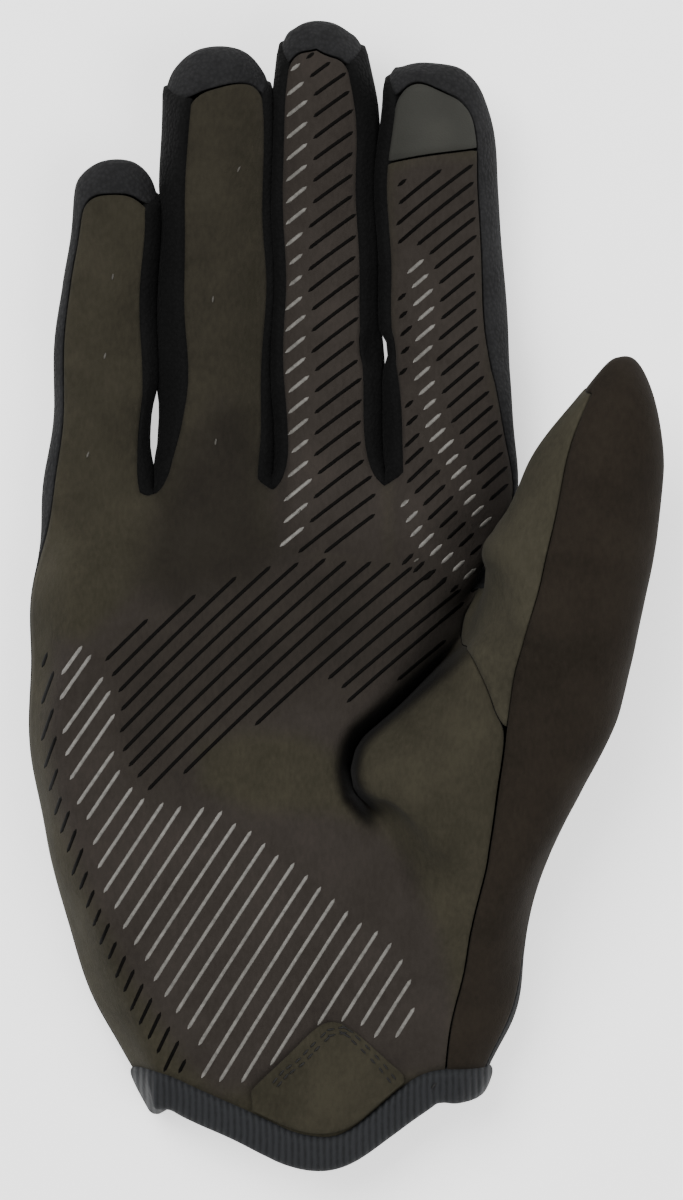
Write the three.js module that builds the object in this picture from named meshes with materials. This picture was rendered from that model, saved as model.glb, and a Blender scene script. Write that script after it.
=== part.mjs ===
// A full-finger cycling glove for the right hand, lying on its back with the palm up.
// Millimetres. +X points to the thumb, +Y to the fingertips, +Z up out of the palm.
// The glove is one smooth surface, drawn as rows of points from the cuff to the tips,
// cut along its seams into panels that each get their own wall thickness.

import * as THREE from "three";

// Cloth
const wall = 1.2;
const seamGap = 0.36;
const fingerGap = 0.5;

// Palm
const palmLength = 112.4;
const palmDepth = 25;
const sideRadius = 8;
const creaseDepth = 8;
const creaseLeftStep = 5.5;
const creaseRightStep = 4;

// Cuff
const cuffDip = 12.7;
const cuffDipBack = 3;
const bindingHeight = 5.2;
const bindingThickness = 2.6;
const bindingGap = 0.32;
const cornerDrop = 3.6;

// Fingers
const fanHeight = 55;
const fingerDepthShare = 0.8;
const touchPatchLength = 18;
const touchPatchSlant = 4;
const stripHalfAngle = 50;

// Thumb
const thumbLength = 53.6;
const thumbWidth = 31.6;
const thumbDepth = 30;

// Wrist tab
const tabThickness = 0.9;
const tabGap = 0.32;
const tabHeight = 22;
const tabApexRadius = 4;

// One row for each finger: widths with its share of the gaps, the length from its root,
// the black cap and the arch of its seam, how far that seam slants down to the thumb's side,
// how far the strip is rolled, the angle of its right seam at the root, how far the tip
// curls up, and the root as a share of palmLength.
const FINGERS = [
  { name: "little", rootWidth: 21.8, padWidth: 17.2, length: 63.8, cap: 7, arch: 3.4, capSlant: 0,
    roll: 1, rootSeam: 40, lift: 8, root: 0.968 },
  { name: "ring", rootWidth: 22.2, padWidth: 20.8, length: 82, cap: 7, arch: 4, capSlant: 0,
    roll: -18, rootSeam: 40, lift: 10, root: 0.986 },
  { name: "middle", rootWidth: 21.9, padWidth: 20.9, length: 85.2, cap: 4.6, arch: 4.6, capSlant: 0,
    roll: 6, rootSeam: 40, lift: 10, root: 1 },
  { name: "index", rootWidth: 24.9, padWidth: 22.8, length: 78, cap: 5, arch: 4.6, capSlant: 3.4,
    roll: 10, rootSeam: 20, lift: 8, root: 1 },
];
// Rows across the cap, as shares of its length from the tip.
const CAP_SHARES = [1, 0.45, 0.12];
// Angles round a finger: its palm strip's left seam at the root, and its underside.
const LEFT_ROOT_SEAM_ANGLE = 140;
const UNDERSIDE_ANGLES = { back2: -48, back1: -90, back0: -132 };

const palmWidth = FINGERS.reduce((total, finger) => total + finger.rootWidth, 0);

// Rows of the palm from the cuff to the thumb web. y values are shares of palmLength,
// x values of palmWidth from the palm's midline, z values of palmDepth, crease of
// creaseDepth, turn is the slope of the row across the crease in degrees.
const PALM_ROWS = [
  { y: 0, left: -0.445, zLeft: 0.62, zMid: 0.68, zCrease: 0.66, creaseX: 0.055, creaseY: 0, turn: 0,
    crease: 0, zHeel: 0.67, bulge: 0.02, backX: 0.089, backY: 0 },
  { y: 0.116, left: -0.516, zLeft: 0.76, zMid: 0.84, zCrease: 0.8, creaseX: 0.067, creaseY: 0.107, turn: 0,
    crease: 0, zHeel: 0.82, bulge: 0.04, backX: 0.111, backY: 0.116 },
  { y: 0.231, left: -0.572, zLeft: 0.88, zMid: 0.98, zCrease: 0.92, creaseX: 0.078, creaseY: 0.249, turn: 8,
    crease: 0, zHeel: 0.96, bulge: 0.08, backX: 0.133, backY: 0.24 },
  { y: 0.347, left: -0.612, zLeft: 0.94, zMid: 1, zCrease: 0.94, creaseX: 0.089, creaseY: 0.405, turn: 22,
    crease: 0.3, zHeel: 1, bulge: 0.12, backX: 0.155, backY: 0.365 },
  { y: 0.463, left: -0.643, zLeft: 0.96, zMid: 0.96, zCrease: 0.88, creaseX: 0.013, creaseY: 0.467, turn: 8,
    crease: 0.75, zHeel: 0.98, bulge: 0.16, backX: 0.177, backY: 0.489 },
  { y: 0.578, left: -0.657, zLeft: 0.94, zMid: 0.9, zCrease: 0.82, creaseX: 0.016, creaseY: 0.54, turn: -20,
    crease: 1, zHeel: 0.94, bulge: 0.18, backX: 0.211, backY: 0.614 },
  { y: 0.703, left: -0.653, zLeft: 0.9, zMid: 0.82, zCrease: 0.78, creaseX: 0.111, creaseY: 0.618, turn: -45,
    crease: 1, zHeel: 0.92, bulge: 0.16, backX: 0.255, backY: 0.738 },
  { y: 0.819, left: -0.65, zLeft: 0.86, zMid: 0.78, zCrease: 0.76, creaseX: 0.222, creaseY: 0.738, turn: -40,
    crease: 1, zHeel: 0.92, bulge: 0.14, backX: 0.29, backY: 0.87 },
];

// Sections of the thumb's base beside those rows. y is a share of palmLength, left of
// palmWidth, slant and width of thumbWidth, depth and lift of thumbDepth, and the seams
// and the underside are angles round the section, from +X over +Z.
const THUMB_BASE = [
  { y: 0, slant: 0, left: 0.144, width: 0.456, lift: 0.023, depth: 0.553,
    front: 100, back: 32, under: -90 },
  { y: 0.096, slant: 0, left: 0.149, width: 0.589, lift: 0.017, depth: 0.667,
    front: 102, back: 28, under: -90 },
  { y: 0.194, slant: 0.03, left: 0.18, width: 0.563, lift: 0.01, depth: 0.813,
    front: 104, back: 15, under: -90 },
  { y: 0.292, slant: 0.09, left: 0.201, width: 0.57, lift: 0, depth: 0.9,
    front: 106, back: 0, under: -92 },
  { y: 0.39, slant: 0.19, left: 0.207, width: 0.652, lift: 0, depth: 0.967,
    front: 107, back: -15, under: -95 },
  { y: 0.488, slant: 0.32, left: 0.201, width: 0.835, lift: 0.017, depth: 1,
    front: 109, back: -25, under: -100 },
  { y: 0.594, slant: 0.47, left: 0.2, width: 0.987, lift: 0.067, depth: 1,
    front: 111, back: -32, under: -110 },
  { y: 0.719, slant: 0.63, left: 0.243, width: 1, lift: 0.183, depth: 0.933,
    front: 118, back: -35, under: -129 },
];

// Sections of the free thumb. y is a share of thumbLength above the last base section.
const THUMB_FREE = [
  { y: 0.224, slant: 0.47, left: 0.305, width: 0.911, lift: 0.42, depth: 0.833,
    front: 127, back: -35, under: -129 },
  { y: 0.354, slant: 0.32, left: 0.33, width: 0.88, lift: 0.53, depth: 0.767,
    front: 122, back: -35, under: -129 },
  { y: 0.541, slant: 0.19, left: 0.363, width: 0.823, lift: 0.593, depth: 0.713,
    front: 120, back: -35, under: -129 },
  { y: 0.728, slant: 0.1, left: 0.422, width: 0.652, lift: 0.65, depth: 0.633,
    front: 134, back: -35, under: -129 },
  { y: 0.877, slant: 0.03, left: 0.486, width: 0.456, lift: 0.75, depth: 0.467,
    front: 146, back: -35, under: -129 },
  { y: 0.97, slant: 0, left: 0.535, width: 0.22, lift: 0.86, depth: 0.233,
    front: 146, back: -35, under: -129 },
];
const THUMB_TIP = { x: 0.578, y: 1, z: 0.975 };
const SLANT_ANGLE = 80;

// Points of the fold between thumb and hand, as shares of palmWidth, palmLength and palmDepth.
const WEB_POINTS = {
  right: { x: 0.254, y: 0.808, z: 0.36 },
  crotch: { x: 0.271, y: 0.812, z: 0.34 },
  inner: { x: 0.296, y: 0.817, z: 0.46 },
  web: { x: 0.332, y: 0.862, z: 0.02 },
  under3: { x: 0.378, y: 0.868, z: 0.14 },
  seamAbove: { x: 0.316, y: 0.89, z: 0.52 },
  rightAbove: { x: 0.324, y: 0.899, z: 0.28 },
};

// The cuff's dip: its middle and its reach to each side, as shares of palmWidth.
const CUFF_DIP = { middle: -0.042, leftReach: 0.4, rightReach: 0.245 };
const CUFF_DIP_FADE = [1, 0.44, 0.11];

// The wrist tab: its apex and its corners across, as shares of palmWidth.
const TAB = { apex: -0.021, left: -0.2, right: 0.125 };

// Where the little finger's outer side starts, as a share of palmWidth from the midline,
// and how much of the narrowing from the knuckles to the finger pads is on that side.
const FAN_START = -0.638;
const FAN_SHIFT = 0.626;

// Angles round the little finger's side of the palm: the palm's seam, the side and the back.
const SEAM_ANGLE = 178;
const SIDE_ANGLE = 215;
const BACK_ANGLE = 250;
// The height of that side's middle, as a share of the palm's height there.
const SIDE_HEIGHT_SHARE = 0.45;

// How far below the ground the cage of the flat back is drawn, before it is cut off at 0.
const FLAT_BACK = -0.6;
// How often the cage is corrected until the smooth surface meets the drawn points.
const DESIGN_PASSES = 4;
// The sharpest corner that a seam's edge draws back from in full.
const SHARPEST_SPREAD = 0.4;

const { lerp, degToRad } = THREE.MathUtils;
const cosDeg = (angle) => Math.cos(degToRad(angle));
const sinDeg = (angle) => Math.sin(degToRad(angle));

// Cage: points and faces

const cage = { points: [], faces: [] };

function addPoint(x, y, z) {
  cage.points.push(new THREE.Vector3(x, y, z));
  return cage.points.length - 1;
}

function addFace(panel, ...corners) {
  cage.faces.push({ panel, corners });
}

// Joins two rows of points, column by column. panelOf names the panel of each column.
function joinRows(columns, lower, upper, panelOf) {
  columns.forEach((name, index) => {
    const next = columns[(index + 1) % columns.length];
    addFace(panelOf(name, next), lower[name], lower[next], upper[next], upper[name]);
  });
}

// Fingers

function edgesFrom(start, key) {
  const edges = [start];
  FINGERS.forEach((finger) => edges.push(edges[edges.length - 1] + finger[key]));
  return edges;
}

const FAN_LEFT = FAN_START * palmWidth;
const padTotal = FINGERS.reduce((total, finger) => total + finger.padWidth, 0);
const rootEdges = edgesFrom(FAN_LEFT, "rootWidth");
const padEdges = edgesFrom(FAN_LEFT + (palmWidth - padTotal) * FAN_SHIFT, "padWidth");

// The glove narrows to a round tip: 1 away from the tip, 0 at the tip itself.
function tipShare(distance, radius) {
  const inside = Math.max(0, 1 - Math.max(distance, 0) / radius);
  return Math.sqrt(1 - inside * inside);
}

function fingerStations(finger) {
  const patchStart = finger.length - touchPatchLength;
  return [
    0,
    patchStart / 3,
    (patchStart * 2) / 3,
    patchStart,
    ...CAP_SHARES.map((share) => finger.length - finger.cap * share),
  ];
}

const TOUCH_FINGER = 3;
const PATCH_ROW = 3;
const CAP_ROW = 4;

function seamSlant(number, row) {
  if (row === CAP_ROW) return -FINGERS[number].capSlant / 2;
  return number === TOUCH_FINGER && row === PATCH_ROW ? touchPatchSlant / 2 : 0;
}

// The cap's seam is an arch: its two corners lie lower than its middle.
function capArch(finger, name, row) {
  return row === CAP_ROW && (name === "palm0" || name === "palm2") ? finger.arch : 0;
}

function fingerRing(number, row) {
  const finger = FINGERS[number];
  const height = fingerStations(finger)[row];
  const rise = height / fanHeight;
  const left = lerp(rootEdges[number], padEdges[number], rise) + fingerGap / 2;
  const right = lerp(rootEdges[number + 1], padEdges[number + 1], rise) - fingerGap / 2;
  const centreX = (left + right) / 2;
  const fullWidth = (right - left) / 2;
  const fullDepth = fullWidth * fingerDepthShare;
  const round = tipShare(finger.length - height, fullWidth);
  const share = height / finger.length;
  const centreZ = fullDepth + finger.lift * share * share;
  const turned = row === 0 ? 0 : 1;
  const leftSeam = lerp(LEFT_ROOT_SEAM_ANGLE, 90 + finger.roll + stripHalfAngle, turned);
  const rightSeam = lerp(finger.rootSeam, 90 + finger.roll - stripHalfAngle, turned);
  const angles = {
    left: 180,
    palm0: leftSeam,
    palm1: (leftSeam + rightSeam) / 2,
    palm2: rightSeam,
    right: 0,
    ...UNDERSIDE_ANGLES,
  };
  const slant = seamSlant(number, row);
  const ring = {};
  for (const [name, angle] of Object.entries(angles)) {
    ring[name] = {
      x: centreX + fullWidth * round * cosDeg(angle),
      y: finger.root * palmLength + height + slant * cosDeg(angle) - capArch(finger, name, row),
      z: centreZ + fullDepth * round * sinDeg(angle),
    };
  }
  return ring;
}

function fingerTip(number) {
  const finger = FINGERS[number];
  const rise = finger.length / fanHeight;
  const left = lerp(rootEdges[number], padEdges[number], rise);
  const right = lerp(rootEdges[number + 1], padEdges[number + 1], rise);
  const depth = ((right - left - fingerGap) / 2) * fingerDepthShare;
  return {
    x: (left + right) / 2,
    y: finger.root * palmLength + finger.length,
    z: depth + finger.lift,
  };
}

function placeRing(ring) {
  const placed = {};
  for (const [name, point] of Object.entries(ring)) placed[name] = addPoint(point.x, point.y, point.z);
  return placed;
}

// Names of the columns

const FINGER_COLUMNS = ["left", "palm0", "palm1", "palm2", "right", "back2", "back1", "back0"];
const STRIPS = [0, 1, 2, 3];
const palmColumns = STRIPS.flatMap((number) => [0, 1, 2].map((strip) => `palm${number}${strip}`));
const backColumns = STRIPS.flatMap((number) => [0, 1, 2].map((strip) => `back${number}${strip}`));
backColumns.reverse();
const heelColumns = ["heel0", "heel1", "heel2", "heel3"];
const thumbColumns = ["thumb1", "thumb2", "thumb3", "thumb4"];
const underColumns = ["under1", "under2", "under3"];
const gussetColumns = ["heel2", "heel1", "heel0", "inner"];
const UNION_COLUMNS = [
  "side", ...palmColumns, "crease", ...heelColumns, ...thumbColumns, ...underColumns, "web", ...backColumns,
];
const HAND_COLUMNS = ["side", ...palmColumns, "right", ...backColumns];
const THUMB_COLUMNS = [...heelColumns, ...thumbColumns, ...underColumns, "inner"];

// The hand's ring at the finger roots, by column name.
function rootRow() {
  const row = {};
  FINGERS.forEach((finger, number) => {
    const ring = fingerRing(number, 0);
    for (const strip of [0, 1, 2]) {
      row[`palm${number}${strip}`] = ring[`palm${strip}`];
      row[`back${number}${strip}`] = ring[`back${strip}`];
    }
    if (number === 0) row.side = ring.left;
    if (number === FINGERS.length - 1) row.right = ring.right;
  });
  return row;
}

const ROOT_ROW = rootRow();

// How far across the palm or the back a column lies, from 0 at the side to 1 at the thumb.
function acrossShare(name) {
  const kind = name.slice(0, 4);
  const first = ROOT_ROW[`${kind}00`].x;
  const last = ROOT_ROW[`${kind}32`].x;
  return (ROOT_ROW[name].x - first) / (last - first);
}

// Thumb

function thumbSection(section, originY, lengthY) {
  const halfWidth = (section.width * thumbWidth) / 2;
  const halfDepth = (section.depth * thumbDepth) / 2;
  const centreX = section.left * palmWidth + halfWidth;
  const centreY = originY + section.y * lengthY;
  const centreZ = section.lift * thumbDepth + halfDepth;
  return (angle) => ({
    x: centreX + halfWidth * cosDeg(angle),
    y: centreY - section.slant * thumbWidth * cosDeg(angle - SLANT_ANGLE),
    z: centreZ + halfDepth * sinDeg(angle),
  });
}

// Angles of the dark panel and of the underside, the same at the base and on the free thumb.
function outerThumbAngles(section) {
  const angles = { heel3: section.front };
  thumbColumns.forEach((name, index) => {
    angles[name] = lerp(section.front, section.back, (index + 1) / thumbColumns.length);
  });
  underColumns.forEach((name, index) => {
    angles[name] = lerp(section.back, section.under, (index + 1) / underColumns.length);
  });
  return angles;
}

function freeThumbRing(section, originY) {
  const at = thumbSection(section, originY, thumbLength);
  const angles = outerThumbAngles(section);
  const gussetEnd = section.under + 360;
  gussetColumns.forEach((name, index) => {
    angles[name] = lerp(section.front, gussetEnd, (index + 1) / (gussetColumns.length + 1));
  });
  const ring = {};
  for (const name of THUMB_COLUMNS) ring[name] = at(angles[name]);
  return ring;
}

// Palm and wrist

function quadraticThrough(start, middle, end, share) {
  const startPart = start * (1 - share) * (1 - 2 * share);
  const middlePart = middle * 4 * share * (1 - share);
  const endPart = end * share * (2 * share - 1);
  return startPart + middlePart + endPart;
}

function cuffBell(x) {
  const offset = x / palmWidth - CUFF_DIP.middle;
  const reach = offset < 0 ? CUFF_DIP.leftReach : CUFF_DIP.rightReach;
  const share = Math.min(Math.abs(offset) / reach, 1);
  return 0.5 + 0.5 * Math.cos(Math.PI * share);
}

function palmRow(number) {
  const rowShares = PALM_ROWS[number];
  const section = THUMB_BASE[number];
  const fade = CUFF_DIP_FADE[number] ?? 0;
  const row = {};
  const leftX = rowShares.left * palmWidth;
  const leftY = rowShares.y * palmLength;
  const leftZ = rowShares.zLeft * palmDepth;
  const arcZ = leftZ * SIDE_HEIGHT_SHARE;
  const onArc = (angle) => ({
    x: leftX + sideRadius + sideRadius * cosDeg(angle),
    y: leftY,
    z: arcZ + arcZ * sinDeg(angle),
  });
  row.side = onArc(SIDE_ANGLE);

  const creaseX = rowShares.creaseX * palmWidth;
  const creaseY = rowShares.creaseY * palmLength;
  const creaseZ = rowShares.zCrease * palmDepth;
  const turnX = cosDeg(rowShares.turn);
  const turnY = sinDeg(rowShares.turn);
  const lastX = creaseX - creaseLeftStep * turnX;
  const lastY = creaseY - creaseLeftStep * turnY;
  for (const name of palmColumns) {
    const share = acrossShare(name);
    row[name] = {
      x: lerp(leftX, lastX, share),
      y: lerp(leftY, lastY, share),
      z: quadraticThrough(leftZ, rowShares.zMid * palmDepth, creaseZ, share),
    };
  }
  row.palm00 = onArc(SEAM_ANGLE);
  row.crease = { x: creaseX, y: creaseY, z: creaseZ - rowShares.crease * creaseDepth };

  const at = thumbSection(section, 0, palmLength);
  const angles = outerThumbAngles(section);
  for (const [name, angle] of Object.entries(angles)) row[name] = at(angle);
  row.heel0 = {
    x: creaseX + creaseRightStep * turnX,
    y: creaseY + creaseRightStep * turnY,
    z: rowShares.zHeel * palmDepth,
  };
  ["heel1", "heel2"].forEach((name, index) => {
    const share = (index + 1) / 3;
    row[name] = {
      x: lerp(row.heel0.x, row.heel3.x, share),
      y: lerp(row.heel0.y, row.heel3.y, share),
      z: lerp(row.heel0.z, row.heel3.z, share) + rowShares.bulge * palmDepth,
    };
  });

  const backStart = onArc(BACK_ANGLE);
  const backEndX = rowShares.backX * palmWidth;
  const backEndY = rowShares.backY * palmLength;
  for (const name of backColumns) {
    const share = acrossShare(name);
    row[name] = { x: lerp(backStart.x, backEndX, share), y: lerp(leftY, backEndY, share), z: FLAT_BACK };
  }
  row.back00 = backStart;
  row.web = {
    x: (backEndX + row.under3.x) / 2,
    y: (backEndY + row.under3.y) / 2,
    z: FLAT_BACK,
  };

  const drop = (name, depth) => {
    row[name].y -= depth * fade * cuffBell(row[name].x);
  };
  for (const name of [...palmColumns, "crease", ...heelColumns]) drop(name, cuffDip);
  for (const name of backColumns) drop(name, cuffDipBack);
  return row;
}

function webPoint(name) {
  const shares = WEB_POINTS[name];
  return { x: shares.x * palmWidth, y: shares.y * palmLength, z: shares.z * palmDepth };
}

function middleOf(first, second) {
  return { x: (first.x + second.x) / 2, y: (first.y + second.y) / 2, z: (first.z + second.z) / 2 };
}

// Panels by column

function unionPanel(name, next) {
  if (name === "side") return "back_panel";
  if (thumbColumns.includes(next)) return "thumb_panel";
  if (palmColumns.includes(name) || name === "crease" || heelColumns.includes(name)) return "palm_panel";
  return "back_panel";
}

function fourchetteName(number) {
  return `fourchette_${FINGERS[number].name}_${FINGERS[number + 1].name}`;
}

function fingerPanel(number, row) {
  return (name, next) => {
    if (row >= CAP_ROW) return "back_panel";
    if (name === "palm0" || name === "palm1") {
      return number === TOUCH_FINGER && row === PATCH_ROW ? "index_touch_patch" : "palm_panel";
    }
    if (name === "back2" || name === "back1") return "back_panel";
    const onLeft = name === "left" || next === "left";
    if (onLeft) return number === 0 ? "back_panel" : fourchetteName(number - 1);
    return number === FINGERS.length - 1 ? "back_panel" : fourchetteName(number);
  };
}

function thumbPanel(row) {
  return (name, next) => {
    if (row >= THUMB_FREE.length - 1 || thumbColumns.includes(next)) return "thumb_panel";
    if (thumbColumns.includes(name) || name === "under1" || name === "under2") return "back_panel";
    return "thumb_gusset";
  };
}

// Building the cage

function buildHand() {
  let lower = placeRing(palmRow(0));
  let rowPoints = null;
  for (let number = 1; number < PALM_ROWS.length; number += 1) {
    rowPoints = palmRow(number);
    if (number === PALM_ROWS.length - 1) {
      for (const name of ["web", "under3"]) rowPoints[name] = webPoint(name);
    }
    const upper = placeRing(rowPoints);
    joinRows(UNION_COLUMNS, lower, upper, unionPanel);
    lower = upper;
  }
  return { split: lower, splitPoints: rowPoints };
}

function buildWeb(split) {
  for (const name of ["right", "crotch", "inner"]) {
    const point = webPoint(name);
    split[name] = addPoint(point.x, point.y, point.z);
  }
  addFace("palm_panel", split.palm32, split.crease, split.crotch, split.right);
  addFace("thumb_gusset", split.crease, split.heel0, split.inner, split.crotch);
  addFace("back_panel", split.right, split.crotch, split.web, split.back32);
  addFace("back_panel", split.crotch, split.inner, split.under3, split.web);
}

function buildKnuckles(split, splitPoints) {
  const middlePoints = {};
  for (const name of HAND_COLUMNS) {
    if (name !== "right") middlePoints[name] = middleOf(splitPoints[name], ROOT_ROW[name]);
  }
  middlePoints.right = webPoint("rightAbove");
  middlePoints.palm32 = webPoint("seamAbove");
  const middle = placeRing(middlePoints);
  const root = placeRing(ROOT_ROW);
  const lowerPanel = (name) => (palmColumns.includes(name) ? "palm_panel" : "back_panel");
  const upperPanel = (name) => (name === "palm32" ? "back_panel" : lowerPanel(name));
  joinRows(HAND_COLUMNS, split, middle, lowerPanel);
  joinRows(HAND_COLUMNS, middle, root, upperPanel);
  return root;
}

function buildFingers(root) {
  const rings = FINGERS.map((finger, number) => {
    const ring = fingerRing(number, 0);
    const placed = {};
    for (const strip of [0, 1, 2]) {
      placed[`palm${strip}`] = root[`palm${number}${strip}`];
      placed[`back${strip}`] = root[`back${number}${strip}`];
    }
    const { left, right } = ring;
    const isLast = number === FINGERS.length - 1;
    placed.left = number === 0 ? root.side : addPoint(left.x, left.y, left.z);
    placed.right = isLast ? root.right : addPoint(right.x, right.y, right.z);
    return placed;
  });
  for (let number = 0; number < FINGERS.length - 1; number += 1) {
    const here = rings[number];
    const next = rings[number + 1];
    addFace(fourchetteName(number), here.palm2, next.palm0, next.left, here.right);
    addFace(fourchetteName(number), here.right, next.left, next.back0, here.back2);
  }
  FINGERS.forEach((finger, number) => {
    let lower = rings[number];
    const rows = fingerStations(finger).length;
    for (let row = 1; row < rows; row += 1) {
      const upper = placeRing(fingerRing(number, row));
      joinRows(FINGER_COLUMNS, lower, upper, fingerPanel(number, row - 1));
      lower = upper;
    }
    closeTip("back_panel", FINGER_COLUMNS.map((name) => lower[name]), fingerTip(number));
  });
}

function closeTip(panel, ring, tip) {
  const centre = addPoint(tip.x, tip.y, tip.z);
  for (let index = 0; index < ring.length; index += 2) {
    addFace(panel, ring[index], ring[index + 1], ring[(index + 2) % ring.length], centre);
  }
}

function buildThumb(split) {
  const originY = THUMB_BASE[THUMB_BASE.length - 1].y * palmLength;
  let lower = split;
  THUMB_FREE.forEach((section, row) => {
    const upper = placeRing(freeThumbRing(section, originY));
    joinRows(THUMB_COLUMNS, lower, upper, thumbPanel(row));
    lower = upper;
  });
  const tip = {
    x: THUMB_TIP.x * palmWidth,
    y: originY + THUMB_TIP.y * thumbLength,
    z: THUMB_TIP.z * thumbDepth,
  };
  closeTip("thumb_panel", THUMB_COLUMNS.map((name) => lower[name]), tip);
}

// Smoothing

function edgeKey(first, second) {
  return first < second ? `${first}_${second}` : `${second}_${first}`;
}

function edgesOf(faces) {
  const edges = new Map();
  faces.forEach((face, faceNumber) => {
    face.corners.forEach((corner, index) => {
      const next = face.corners[(index + 1) % face.corners.length];
      const key = edgeKey(corner, next);
      if (!edges.has(key)) edges.set(key, { ends: [corner, next], faces: [] });
      edges.get(key).faces.push(faceNumber);
    });
  });
  return edges;
}

function average(points) {
  const total = new THREE.Vector3();
  for (const point of points) total.add(point);
  return total.divideScalar(points.length);
}

// One Catmull-Clark step. The first points of the result are the old ones, moved.
function smoothOnce(points, faces) {
  const edges = edgesOf(faces);
  const facePoints = faces.map((face) => average(face.corners.map((corner) => points[corner])));
  const around = points.map(() => ({ faces: [], middles: [], rim: [] }));
  faces.forEach((face, faceNumber) => {
    for (const corner of face.corners) around[corner].faces.push(facePoints[faceNumber]);
  });
  const result = points.map(() => null);
  const edgeIndex = new Map();
  for (const [key, edge] of edges) {
    const [start, end] = edge.ends.map((corner) => points[corner]);
    const middle = average([start, end]);
    const onRim = edge.faces.length === 1;
    edge.ends.forEach((corner, index) => {
      around[corner].middles.push(middle);
      if (onRim) around[corner].rim.push(index === 0 ? end : start);
    });
    edgeIndex.set(key, result.length);
    result.push(onRim ? middle : average([start, end, ...edge.faces.map((number) => facePoints[number])]));
  }
  points.forEach((point, index) => {
    const near = around[index];
    if (near.rim.length > 0) {
      result[index] = point.clone().multiplyScalar(6).add(near.rim[0]).add(near.rim[1]).divideScalar(8);
      return;
    }
    const count = near.faces.length;
    result[index] = average(near.faces)
      .addScaledVector(average(near.middles), 2)
      .addScaledVector(point, count - 3)
      .divideScalar(count);
  });
  const finer = [];
  faces.forEach((face, faceNumber) => {
    const centre = result.push(facePoints[faceNumber]) - 1;
    face.corners.forEach((corner, index) => {
      const size = face.corners.length;
      const next = face.corners[(index + 1) % size];
      const before = face.corners[(index + size - 1) % size];
      const ahead = edgeIndex.get(edgeKey(corner, next));
      const behind = edgeIndex.get(edgeKey(before, corner));
      finer.push({ panel: face.panel, corners: [corner, ahead, centre, behind] });
    });
  });
  return { points: result, faces: finer };
}

// Moves the cage outwards until the smooth surface passes through the drawn points.
function smoothThroughPoints() {
  const control = cage.points.map((point) => point.clone());
  for (let pass = 0; pass < DESIGN_PASSES; pass += 1) {
    const smooth = smoothOnce(control, cage.faces).points;
    control.forEach((point, index) => point.add(cage.points[index]).sub(smooth[index]));
  }
  const surface = smoothOnce(control, cage.faces);
  for (const point of surface.points) point.z = Math.max(point.z, 0);
  return surface;
}

function normalsOf(surface) {
  const normals = surface.points.map(() => new THREE.Vector3());
  for (const face of surface.faces) {
    const [first, second, third, fourth] = face.corners.map((corner) => surface.points[corner]);
    const across = third.clone().sub(first);
    const up = fourth.clone().sub(second);
    const normal = across.cross(up);
    for (const corner of face.corners) normals[corner].add(normal);
  }
  return normals.map((normal) => normal.normalize());
}

// Panels

// Where a seam meets the point: how far the panel's edge draws back, to leave the seam's gap.
function drawBack(inward) {
  if (inward.length === 0) return new THREE.Vector3();
  const half = seamGap / 2;
  if (inward.length === 1) return inward[0].clone().multiplyScalar(half);
  const spread = Math.max(1 + inward[0].dot(inward[1]), SHARPEST_SPREAD);
  return inward[0].clone().add(inward[1]).multiplyScalar(half / spread);
}

function borderOf(surface, panel) {
  const faces = surface.faces.filter((face) => face.panel === panel);
  const inside = new Set();
  const everywhere = new Set();
  const directed = (face, index) => {
    const size = face.corners.length;
    return [face.corners[index], face.corners[(index + 1) % size]];
  };
  for (const face of surface.faces) {
    face.corners.forEach((corner, index) => everywhere.add(directed(face, index).join(">")));
  }
  for (const face of faces) {
    face.corners.forEach((corner, index) => inside.add(directed(face, index).join(">")));
  }
  const border = [];
  for (const face of faces) {
    face.corners.forEach((corner, index) => {
      const [start, end] = directed(face, index);
      if (inside.has(`${end}>${start}`)) return;
      border.push({ start, end, isSeam: everywhere.has(`${end}>${start}`) });
    });
  }
  return { faces, border };
}

function panelGeometry(surface, normals, panel) {
  const { faces, border } = borderOf(surface, panel);
  const inward = new Map();
  for (const { start, end, isSeam } of border) {
    if (!isSeam) continue;
    const along = surface.points[end].clone().sub(surface.points[start]);
    for (const corner of [start, end]) {
      const direction = normals[corner].clone().cross(along).normalize();
      inward.set(corner, [...(inward.get(corner) ?? []), direction]);
    }
  }
  const vertices = [];
  const places = new Map();
  const placeOf = (corner) => {
    if (!places.has(corner)) {
      const outer = surface.points[corner].clone().add(drawBack(inward.get(corner) ?? []));
      const inner = outer.clone().addScaledVector(normals[corner], -wall);
      places.set(corner, vertices.length);
      vertices.push(outer, inner);
    }
    return places.get(corner);
  };
  const triangles = [];
  const addQuad = (first, second, third, fourth) => {
    const oneWay = vertices[first].distanceTo(vertices[third]);
    const otherWay = vertices[second].distanceTo(vertices[fourth]);
    if (oneWay <= otherWay) triangles.push(first, second, third, first, third, fourth);
    else triangles.push(first, second, fourth, second, third, fourth);
  };
  for (const face of faces) {
    const outer = face.corners.map(placeOf);
    const inner = outer.map((place) => place + 1);
    addQuad(...outer);
    addQuad(inner[3], inner[2], inner[1], inner[0]);
  }
  for (const { start, end } of border) {
    const first = placeOf(start);
    const last = placeOf(end);
    triangles.push(last, first, first + 1, last, first + 1, last + 1);
  }
  return closedGeometry(vertices, triangles);
}

function closedGeometry(vertices, triangles) {
  const geometry = new THREE.BufferGeometry();
  const positions = vertices.flatMap((vertex) => vertex.toArray());
  geometry.setAttribute("position", new THREE.Float32BufferAttribute(positions, 3));
  geometry.setIndex(triangles);
  return geometry;
}

// Cuff binding: a rounded band that follows the cuff's edge just below the fabric.

const BINDING_SECTION = [
  { out: -0.5, down: 0.18 },
  { out: -0.3, down: 0 },
  { out: 0.3, down: 0 },
  { out: 0.5, down: 0.18 },
  { out: 0.5, down: 0.8 },
  { out: 0.22, down: 1 },
  { out: -0.22, down: 1 },
  { out: -0.5, down: 0.8 },
];

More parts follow.
